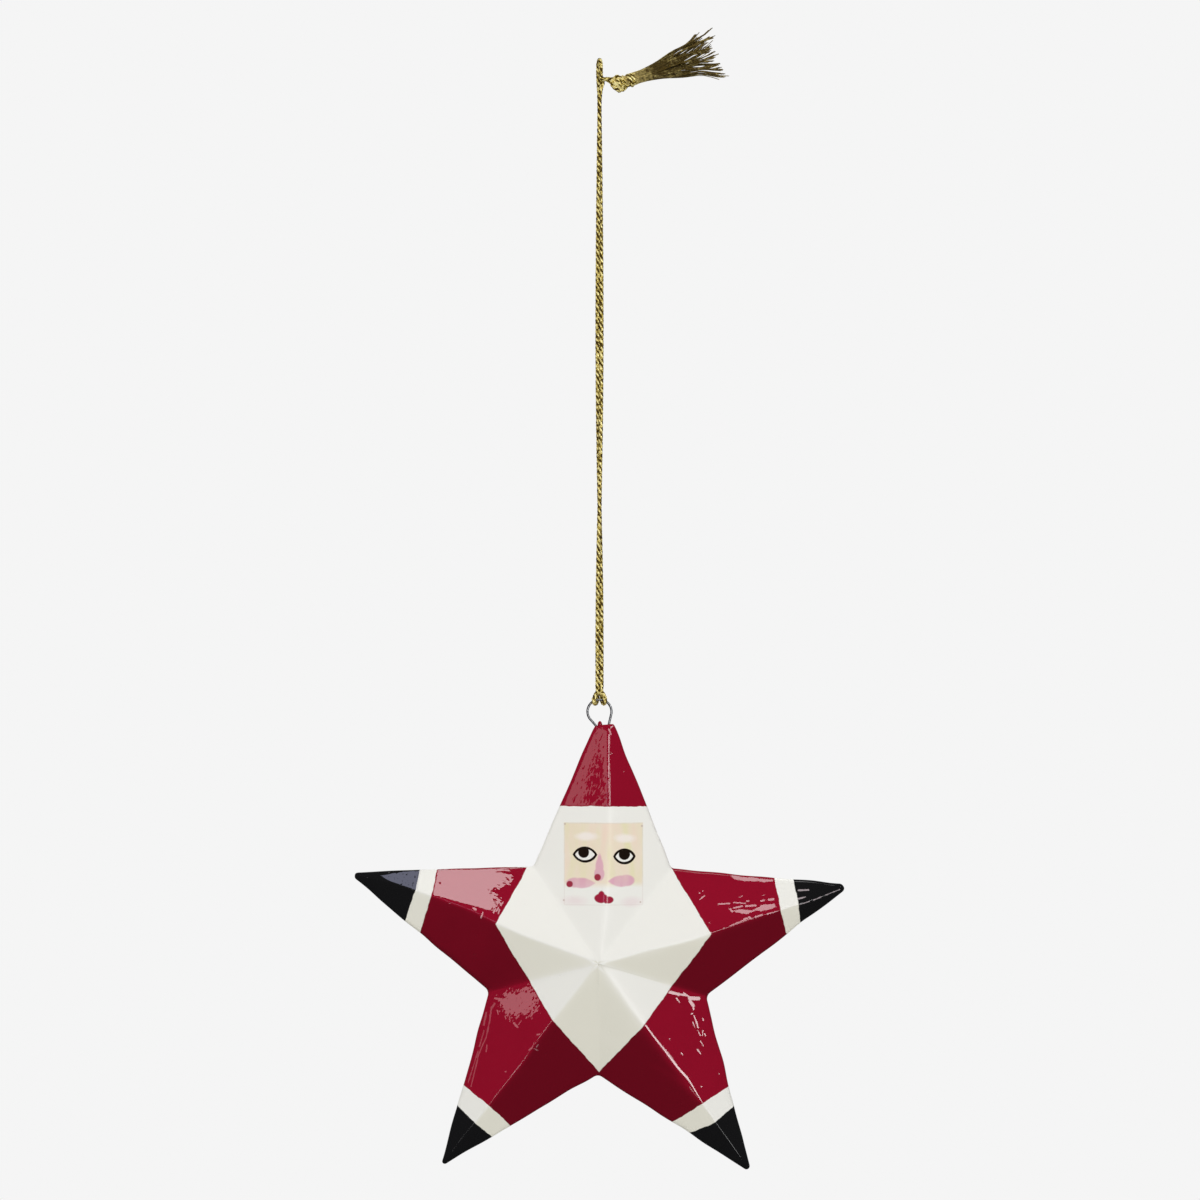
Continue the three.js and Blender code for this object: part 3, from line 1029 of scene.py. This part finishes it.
# face: ovals and lenses as middle, width and height, dots as middle and radius
face = {
    "panel": (-8.75, 10.75, -190.15, -205.4),
    "frame": (-8.75, 10.75, -190.15, -210.4),
    "eyes": [((-3.62, -197.95), 5.5, 3.4), ((6.2, -198.4), 4.95, 3.35)],
    "pupils": [((-3.95, -197.4), 1.36), ((6.2, -197.85), 1.4)],
    "line": 0.3,
    "brows": [((-3.4, -193.45), 2.6, 1.0), ((6.5, -193.95), 2.35, 1.05)],
    "nose": [((-0.05, -202.7), 1.25, 1.75), ((0.0, -201.0), 0.95, 2.3), ((0.0, -199.3), 0.5, 1.5)],
    # pointed toward the nose and round at the other end
    "cheeks": [
        (((-4.6, -205.0), 7.2, 2.5), ((-6.2, -204.95), 2.1, 1.2)),
        (((5.45, -204.5), 6.6, 2.8), ((6.6, -204.35), 2.1, 1.4)),
    ],
    "blush": [((-6.2, -209.4), 2.6, 1.0), ((8.0, -209.7), 2.3, 1.1)],
    "pegs": [(-8.65, -190.4), (10.6, -190.9), (-8.9, -209.3), (10.2, -209.8)],
    "dots": [((-0.5, -203.55), 0.85), ((-7.45, -205.3), 0.8)],
    "mouth": [
        ((0.45, -208.7), 1.75, 1.2), ((0.5, -208.35), 0.95, 1.5), ((1.7, -209.05), 0.9, 0.95),
        ((2.3, -209.1), 1.25, 0.9),
    ],
}


# lacquer over the paint
lacquer = {
    # roughness, and what the white paint, brush marks and pits add to it
    "gloss": 0.025,
    "satin": 0.36,
    "strokeRough": 0.01,
    "pitRough": 0.25,
    # mm of relief, and the share of each kind in it
    "depth": 0.06,
    "lumps": 0.1,
    "strokes": 0.06,
    "pits": 1.1,
    "edges": 0.8,
    # flat places in the lacquer, each looking at a light or, with none, as the wood does:
    # the light, corners, how fast they fill from the edge, how full they are, how ragged,
    # length, width and slope of the flecks
    "flats": [
        (
            "armGlare",
            [(-41.6, -208.1), (-25.2, -212.4), (-21.2, -203.9), (-22.4, -201.7), (-40.4, -201.75)],
            0.5, 0.0, 0.5, (1.2, 0.7, 20),
        ),
        (
            None, [(-26.8, -207.2), (-24.2, -210.8), (-20.0, -206.0), (-21.1, -203.9)],
            1.5, 0.0, 2.2, (1.2, 0.5, -15),
        ),
        (
            None, [(-28.0, -212.8), (-24.0, -212.8), (-23.4, -209.6), (-26.2, -209.6)],
            1.2, -0.6, 2.2, (0.9, 0.45, 70),
        ),
        (
            None, [(-26.0, -202.5), (-21.4, -203.2), (-20.4, -202.2), (-25.8, -202.2)],
            0.3, -0.2, 1.0, (1.6, 0.4, -8),
        ),
        (
            "mittGlare",
            [(-54.9, -203.3), (-52.3, -204.75), (-45.4, -207.0), (-44.5, -202.0), (-50.0, -202.4)],
            0.4, 0.0, 0.5, (1.4, 0.5, -15),
        ),
        (
            None, [(-55.0, -205.0), (-45.0, -207.0), (-44.5, -202.0), (-55.0, -202.0)],
            0.3, -1.8, 2.6, (0.5, 0.4, -20),
        ),
        (
            "armGlare",
            [(33.6, -204.2), (36.2, -204.75), (43.4, -204.9), (43.4, -204.35), (32.4, -203.2)],
            0.3, 0.1, 0.9, (1.6, 0.5, -4),
        ),
        (
            "armGlare",
            [(34.2, -212.4), (36.6, -212.85), (38.6, -212.0), (36.0, -211.6), (33.2, -211.9)],
            0.3, 0.1, 0.9, (1.4, 0.4, 4),
        ),
        (
            "armGlare",
            [(38.2, -211.9), (40.4, -212.2), (44.3, -211.1), (43.6, -210.3), (40.2, -210.6)],
            0.3, 0.0, 1.2, (1.6, 0.4, 10),
        ),
        (
            "hatGlare",
            [(-8.95, -185.9), (1.9, -185.9), (1.9, -167.2), (-0.3, -166.5), (-1.5, -168.0)],
            0.4, 0.0, 0.4, (1.0, 0.5, 70),
        ),
        (
            None,
            [(-5.0, -187.0), (2.2, -187.0), (1.3, -173.0), (-1.0, -172.8), (-3.6, -179.5)],
            1.2, -0.62, 2.6, (1.3, 0.45, 72),
        ),
        (
            None, [(-8.8, -186.5), (1.9, -186.5), (1.9, -167.0), (-1.0, -167.0)],
            0.8, -1.5, 2.6, (1.8, 0.45, 66),
        ),
        (
            "legGlare", [
                (-24.4, -238.2), (-20.5, -238.8), (-15.2, -237.2), (-14.9, -232.4),
                (-17.0, -230.2), (-21.8, -231.7), (-25.6, -233.4),
            ],
            2.2, -0.1, 1.7, (1.1, 0.5, 55),
        ),
    ],
    # beads of lacquer that look at a light: from, to, half width
    "beads": [
        ("armGlare", [
            ((-31.3, -211.3), (-30.9, -211.6), 0.3), ((-29.1, -212.4), (-29.5, -213.6), 0.22),
            ((-29.7, -210.9), (-29.6, -211.0), 0.2), ((-28.8, -211.3), (-28.6, -211.5), 0.2),
            ((-37.5, -210.2), (-37.2, -210.2), 0.13), ((-26.4, -212.4), (-25.9, -211.4), 0.2),
            ((-25.2, -212.6), (-24.9, -211.6), 0.18), ((-24.6, -210.6), (-24.0, -209.8), 0.2),
            ((-30.0, -201.9), (-19.2, -201.4), 0.15),
        ]),
        ("armGlare", [
            ((29.7, -210.35), (32.4, -210.2), 0.22), ((33.5, -209.95), (36.3, -210.2), 0.2),
            ((33.5, -211.3), (35.6, -210.85), 0.26), ((36.5, -210.8), (39.0, -210.7), 0.26),
            ((32.3, -211.3), (33.2, -212.2), 0.24), ((40.3, -209.6), (41.1, -209.4), 0.2),
            ((42.3, -209.3), (43.3, -209.2), 0.34), ((40.6, -208.2), (41.2, -208.1), 0.15),
            ((34.9, -208.7), (35.6, -208.4), 0.15), ((36.8, -209.6), (37.2, -209.6), 0.2),
            ((30.8, -216.3), (31.2, -216.2), 0.15), ((32.6, -215.7), (34.2, -215.0), 0.2),
            ((34.2, -215.0), (36.2, -214.2), 0.18), ((36.2, -214.1), (36.7, -213.9), 0.33),
            ((37.3, -213.6), (37.8, -213.9), 0.3), ((38.9, -213.5), (40.6, -213.0), 0.25),
            ((41.8, -212.8), (44.4, -212.1), 0.17), ((24.9, -207.6), (25.0, -207.7), 0.2),
            ((25.8, -207.2), (25.8, -207.1), 0.17), ((25.0, -209.2), (26.2, -208.3), 0.16),
            ((27.4, -214.9), (27.5, -214.9), 0.18), ((49.7, -207.0), (52.2, -206.9), 0.22),
            ((49.5, -209.1), (51.4, -208.6), 0.2), ((50.0, -210.5), (52.4, -209.7), 0.14),
            ((53.4, -209.4), (55.4, -208.6), 0.16), ((56.4, -208.2), (60.0, -206.8), 0.14),
        ]),
        ("armGlare", [
            ((2.45, -166.8), (2.85, -168.0), 0.22), ((2.35, -168.2), (2.4, -170.4), 0.2),
            ((2.35, -170.6), (2.3, -172.6), 0.14), ((2.3, -173.0), (2.35, -178.7), 0.17),
            ((2.35, -179.3), (2.5, -185.8), 0.13),
        ]),
        ("dripGlare", [
            ((17.0, -232.1), (19.8, -232.9), 0.38), ((20.2, -232.9), (21.5, -233.1), 0.28),
            ((21.0, -232.5), (22.4, -233.6), 0.22), ((22.5, -233.9), (24.7, -234.0), 0.5),
            ((22.6, -234.6), (23.4, -235.8), 0.42), ((23.4, -236.4), (23.5, -236.7), 0.25),
            ((22.9, -237.8), (23.2, -237.7), 0.2), ((23.6, -238.2), (24.1, -239.6), 0.18),
            ((24.1, -239.6), (24.6, -241.2), 0.26), ((24.5, -241.8), (25.2, -243.2), 0.15),
            ((23.3, -239.8), (23.8, -241.2), 0.12), ((25.8, -238.9), (25.9, -239.4), 0.18),
            ((26.2, -242.8), (26.5, -243.3), 0.2), ((25.8, -242.0), (25.7, -243.2), 0.13),
            ((25.2, -244.6), (25.9, -245.8), 0.14), ((24.5, -246.7), (25.2, -247.7), 0.2),
            ((20.4, -247.4), (20.8, -247.9), 0.18), ((25.3, -255.8), (25.5, -255.9), 0.18),
            ((19.2, -233.8), (20.0, -234.9), 0.17),
        ]),
        ("hatGlare", [
            ((-26.2, -235.3), (-27.0, -236.4), 0.3), ((-27.0, -236.4), (-27.5, -240.0), 0.22),
            ((-27.5, -240.0), (-28.3, -243.7), 0.2), ((-28.3, -243.7), (-30.2, -248.0), 0.2),
            ((-30.2, -248.0), (-31.0, -251.5), 0.19), ((-31.0, -251.5), (-32.1, -256.0), 0.19),
            ((-28.3, -237.6), (-28.9, -240.6), 0.28), ((-28.8, -242.0), (-30.0, -246.0), 0.17),
            ((-30.3, -247.0), (-32.8, -255.0), 0.16), ((-28.1, -245.6), (-28.3, -247.3), 0.2),
        ]),
        ("legGlare", [
            ((-23.5, -238.3), (-23.4, -239.0), 0.15), ((-22.4, -238.9), (-22.3, -239.6), 0.2),
            ((-21.3, -240.0), (-20.5, -240.9), 0.3), ((-20.2, -240.3), (-19.5, -239.3), 0.15),
            ((-25.5, -237.0), (-25.3, -238.0), 0.2), ((-17.2, -238.3), (-14.9, -235.4), 0.16),
            ((-15.5, -242.7), (-14.9, -242.6), 0.25), ((-17.6, -246.6), (-16.8, -246.0), 0.22),
            ((-16.7, -245.8), (-16.3, -244.7), 0.13), ((-16.3, -246.2), (-15.3, -246.7), 0.15),
            ((-15.7, -245.8), (-15.3, -245.2), 0.2), ((-23.5, -252.1), (-23.3, -252.0), 0.2),
            ((-24.9, -234.2), (-25.9, -234.0), 0.3),
        ]),
    ],
}


def halfway(name, spot):  # the way a spot in mm faces when it mirrors a light to the camera
    spot = Vector((spot[0], -6.0, spot[1])) * mm
    light = next(p for p in panels if p[0] == name)
    toward = (lightPlace(*light[1:4]) - spot).normalized()
    return (toward + (camera.location - spot).normalized()).normalized()


def beadGroup():  # mm inside a bead, or inside those before it
    tree = bpy.data.node_groups.new("bead", "ShaderNodeTree")
    for label in ("Where", "Start", "Ahead", "Share"):
        tree.interface.new_socket(label, in_out="INPUT", socket_type="NodeSocketVector")
    for label in ("Half", "Before"):
        tree.interface.new_socket(label, in_out="INPUT", socket_type="NodeSocketFloat")
    tree.interface.new_socket("Inside", in_out="OUTPUT", socket_type="NodeSocketFloat")
    graph = Graph(tree)
    given = graph.add("NodeGroupInput")
    off = given.vector("SUBTRACT", given.also("Start"))
    done = off.vector("DOT_PRODUCT", given.also("Share"), out=1).between()
    spot = given.also("Ahead").times(done)
    within = given.also("Half") - off.vector("DISTANCE", spot, out=1)
    graph.add("NodeGroupOutput", {}, {"Inside": within.most(given.also("Before"))})
    return tree


# the way the lacquer itself faces, with its flats and beads
def lacquerFacing(brush, facing):
    graph, where = brush.graph, brush.where
    lean = facing

    def turned(shown, toward):
        nonlocal lean
        sockets = {0: shown * brush.front, 4: lean, 5: toward}
        lean = graph.add("ShaderNodeMix", {"data_type": "VECTOR"}, sockets, 1)

    for name, corners, fill, full, ragged, (long, wide, slope) in lacquer["flats"]:
        inside = brush.side(corners[-1], corners[0])
        for a, b in zip(corners, corners[1:]):
            inside = inside.least(brush.side(a, b))
        size = (long * mm, mm, wide * mm)
        drawn = {"Vector": where, "Rotation": (0.0, -math.radians(slope), 0.0), "Scale": size}
        drawn = graph.add("ShaderNodeMapping", {"vector_type": "TEXTURE"}, drawn)
        flecks = graph.noise(drawn, 1.0, 1.0)
        shown = ((inside / fill).least(1.0) + full + ragged * flecks) * 4.0
        turned(shown.between(), halfway(name, np.mean(corners, axis=0)) if name else facing)
    flat = where.vector("MULTIPLY", (1 / mm, 0.0, 1 / mm))
    ragged = 0.13 * graph.noise(where, 1100.0, 1.0)
    bead = beadGroup()
    for name, beads in lacquer["beads"]:
        inside = -9.0
        for start, end, half in beads:
            ahead = (end[0] - start[0], 0.0, end[1] - start[1])
            share = [v / (ahead[0] ** 2 + ahead[2] ** 2) for v in ahead]
            sockets = {"Where": flat, "Start": (start[0], 0.0, start[1]), "Ahead": ahead}
            sockets.update({"Share": share, "Half": half, "Before": inside})
            inside = graph.add("ShaderNodeGroup", {"node_tree": bead}, sockets)
        shown = ((inside + ragged) * 8.0 + 0.5).between()
        turned(shown, halfway(name, np.mean([start for start, end, half in beads], axis=0)))
    return lean


# shapes of paint on the star, as mm inside their edges
class Brush:
    def __init__(self, graph):
        self.graph = graph
        self.where = graph.place()
        xyz = graph.add("ShaderNodeSeparateXYZ", {}, [self.where], "X")
        self.x, self.z = xyz / mm, xyz.also("Z") / mm
        self.front = (xyz.also("Y") * -8000.0).between()
        uneven = graph.noise(self.where, 190.0) + 0.5 * graph.noise(self.where, 700.0, 1.0)
        self.wave = paint["wave"] * uneven

    def side(self, a, b):  # to the left of the line from a to b
        length = math.dist(a, b)
        nx, nz = (a[1] - b[1]) / length, (b[0] - a[0]) / length
        across = (nx / mm, 0.0, nz / mm)
        return self.where.vector("DOT_PRODUCT", across, out=1) - (nx * a[0] + nz * a[1])

    def beyond(self, a, b, c):  # past a line that bends at b
        bends = (b[0] - a[0]) * (c[1] - b[1]) - (b[1] - a[1]) * (c[0] - b[0])
        first, second = self.side(b, a), self.side(c, b)
        return first.most(second) if bends > 0 else first.least(second)

    def panel(self, left, right, high, low):
        across = (self.x - left).least(right - self.x)
        return across.least(high - self.z).least(self.z - low)

    def oval(self, middle, wide, high):
        off = self.where.vector("SUBTRACT", (middle[0] * mm, 0.0, middle[1] * mm))
        off = off.vector("MULTIPLY", (1 / (wide * mm), 0.0, 1 / (high * mm)))
        return (1.0 - off.vector("LENGTH", out=1)) * min(wide, high)

    def ovals(self, *specs):  # joined
        whole = self.oval(*specs[0])
        for spec in specs[1:]:
            whole = whole.most(self.oval(*spec))
        return whole

    def lens(self, middle, wide, high):
        radius = (wide**2 + high**2) / (4 * high)
        drop = radius - high / 2
        upper = self.oval((middle[0], middle[1] - drop), radius, radius)
        return upper.least(self.oval((middle[0], middle[1] + drop), radius, radius))

    def area(self, distance, wavy=1.0, edge=paint["edge"]):  # 1 inside and 0 outside
        return ((distance + self.wave * wavy) / edge + 0.5).between()


def baseCoats(brush, facing):  # the colours, how satin they are and the raised edges
    graph = brush.graph
    beard = brush.side(*paint["hat"][::-1])
    corners = paint["beard"]
    for k in range(len(corners) - 1):
        inside = brush.side(corners[k], corners[k + 1])
        if k in (0, len(corners) - 2):  # the beard's upper ends run on into the white of the head
            inside = inside.most((brush.z - paint["shoulder"]) * 2.0)
        beard = beard.least(inside)
    # painted shade: faces that look down get a deeper red and a warmer white
    paintedShadeBelow = (graph.add("ShaderNodeSeparateXYZ", {}, [facing], "Z") * -2.7).between()
    white = graph.mixColour(paintedShadeBelow, paint["white"], paint["shadedWarmWhite"])
    mottle = (0.5 + 0.5 * graph.noise(brush.where, 150.0, 4.0, 0.6)).between()
    shadeAndMottle = (paintedShadeBelow + 0.3 * mottle - 0.12).between()  # painted shade: the red deepens on faces that look down, with a random mottle
    colour = graph.mixColour(shadeAndMottle, paint["red"], paint["shadedRed"])
    colour = graph.mixColour(brush.area(beard), colour, white)
    relief = brush.area(beard, 1.0, 0.5)
    satin = brush.area(beard)
    for cuff, tip in paint["cuffs"]:
        cuff, tip = brush.beyond(*cuff), brush.beyond(*tip)
        colour = graph.mixColour(brush.area(cuff), colour, white)
        colour = graph.mixColour(brush.area(tip), colour, paint["black"])
        relief = relief + brush.area(cuff, 1.0, 0.5)
        satin = satin + brush.area(cuff) * (1.0 - brush.area(tip))
    return colour, satin, relief


def paintFace(brush, colour, satin):
    graph = brush.graph

    def dab(distance, tone, wavy=0.5, edge=0.2, full=1.0, shiny=0.0):
        nonlocal colour, satin
        shown = brush.area(distance, wavy, edge) * brush.front * full
        colour = graph.mixColour(shown, colour, tone)
        if shiny:
            satin = satin * (1.0 - shiny * shown)

    tint = graph.noise(brush.where, 130.0)
    smears = graph.noise(brush.where.vector("MULTIPLY", (1.0, 1.0, 0.2)), 330.0)
    skin = graph.mixColour((0.5 + 0.8 * tint).between(), paint["skin"], paint["palerSkin"])
    skin = graph.mixColour((1.9 * smears).between(), skin, paint["yellowSkin"])
    skin = graph.mixColour((-1.6 * smears).between(), skin, paint["rosySkin"])
    left, right, high, low = face["panel"]
    fade = ((brush.z - low) / 1.6 + 0.5 + 0.5 * tint).between()  # worn away below
    dab(brush.panel(left, right, high, low - 3.0), skin, 0.4, 0.5, fade)
    dab(0.09 - abs(brush.panel(*face["frame"])), paint["edgeLine"], 0.2, 0.2, 0.22)
    for spec in face["brows"]:
        dab(brush.oval(*spec), paint["brow"], 0.9, 0.7, 0.85)
    thin = (0.82 + 0.7 * smears).between()
    for pointed, rounded in face["cheeks"]:
        dab(brush.lens(*pointed).most(brush.oval(*rounded)), paint["pink"], 0.5, 0.35, thin)
    dab(brush.ovals(*face["nose"]), paint["pink"], 0.2, 0.3, 0.9)
    for spec in face["blush"]:
        dab(brush.oval(*spec), paint["pink"], 0.6, 1.2, 0.22)
    for middle in face["pegs"]:
        dab(brush.oval(middle, 0.22, 0.22), paint["edgeLine"], 0.2, 0.2, 0.8)
    for middle, radius in face["dots"]:
        dab(brush.oval(middle, radius, radius), paint["lips"], 0.3)
    dab(brush.ovals(*face["mouth"]), paint["lips"], 0.3, 0.2, 1.0, 0.65)
    for spec, (middle, radius) in zip(face["eyes"], face["pupils"]):
        lid = brush.lens(*spec)
        pupil = brush.oval(middle, radius, radius).least(lid + 0.1)
        dab(lid, paint["white"], 0.1, 0.16)
        dab(pupil, paint["eyeBlack"], 0.3, 0.12, 1.0, 0.9)
        dab(face["line"] - abs(lid), paint["eyeBlack"], 0.3, 0.12, 1.0, 0.9)
    return colour, satin


def paintedWood():
    material, graph = newMaterial("painted_wood")
    brush = Brush(graph)
    where = brush.where
    facing = graph.add("ShaderNodeTexCoord", {}, (), "Normal")
    colour, satin, relief = baseCoats(brush, facing)
    colour, satin = paintFace(brush, colour, satin)

    # brush marks run out along the points; pits and specks are where dust sat in the lacquer
    middleX, middleZ = star["middle"]
    off = where.vector("SUBTRACT", (middleX * mm, 0.0, middleZ * mm))
    offX = graph.add("ShaderNodeSeparateXYZ", {}, [off], "X")
    turn = offX.also("Z").maths("ARCTAN2", offX)
    reach = off.vector("LENGTH", out=1)
    polar = [turn * 40.0, reach * 90.0, offX.also("Y") * 20.0]
    strokes = graph.noise(graph.add("ShaderNodeCombineXYZ", {}, polar), 1.0, 3.0, 0.6)
    lumps = graph.noise(where, 260.0)
    cells = {"Vector": where, "Scale": 330.0}
    cells = graph.add("ShaderNodeTexVoronoi", {}, cells, "Distance")
    chosen = graph.add("ShaderNodeSeparateColor", {}, [cells.also("Color")], 0)
    pits = (1.0 - cells * 9.0).between() * chosen.maths("GREATER_THAN", 0.45)
    height = lacquer["lumps"] * lumps + lacquer["strokes"] * strokes
    height = height - lacquer["pits"] * pits + lacquer["edges"] * relief
    rough = lacquer["gloss"] + lacquer["satin"] * satin
    rough = rough + lacquer["strokeRough"] * strokes + lacquer["pitRough"] * pits
    world = {"vector_type": "NORMAL", "convert_from": "OBJECT", "convert_to": "WORLD"}
    leaning = lacquerFacing(brush, facing)
    leaning = graph.add("ShaderNodeVectorTransform", world, [leaning])
    finishMaterial(graph, {
        "Base Color": colour,
        "Roughness": rough.most(0.02),
        "IOR": 1.5,
        "Normal": graph.bump(1.0, lacquer["depth"], height, Normal=leaning),
    })
    return material


verts, faces = starMesh()
starPainted = meshPiece("star_painted", np.array(verts) * mm, faces, paintedWood())
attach(starPainted, "star")
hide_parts("star_body")
print("star painted:", len(verts), "points")
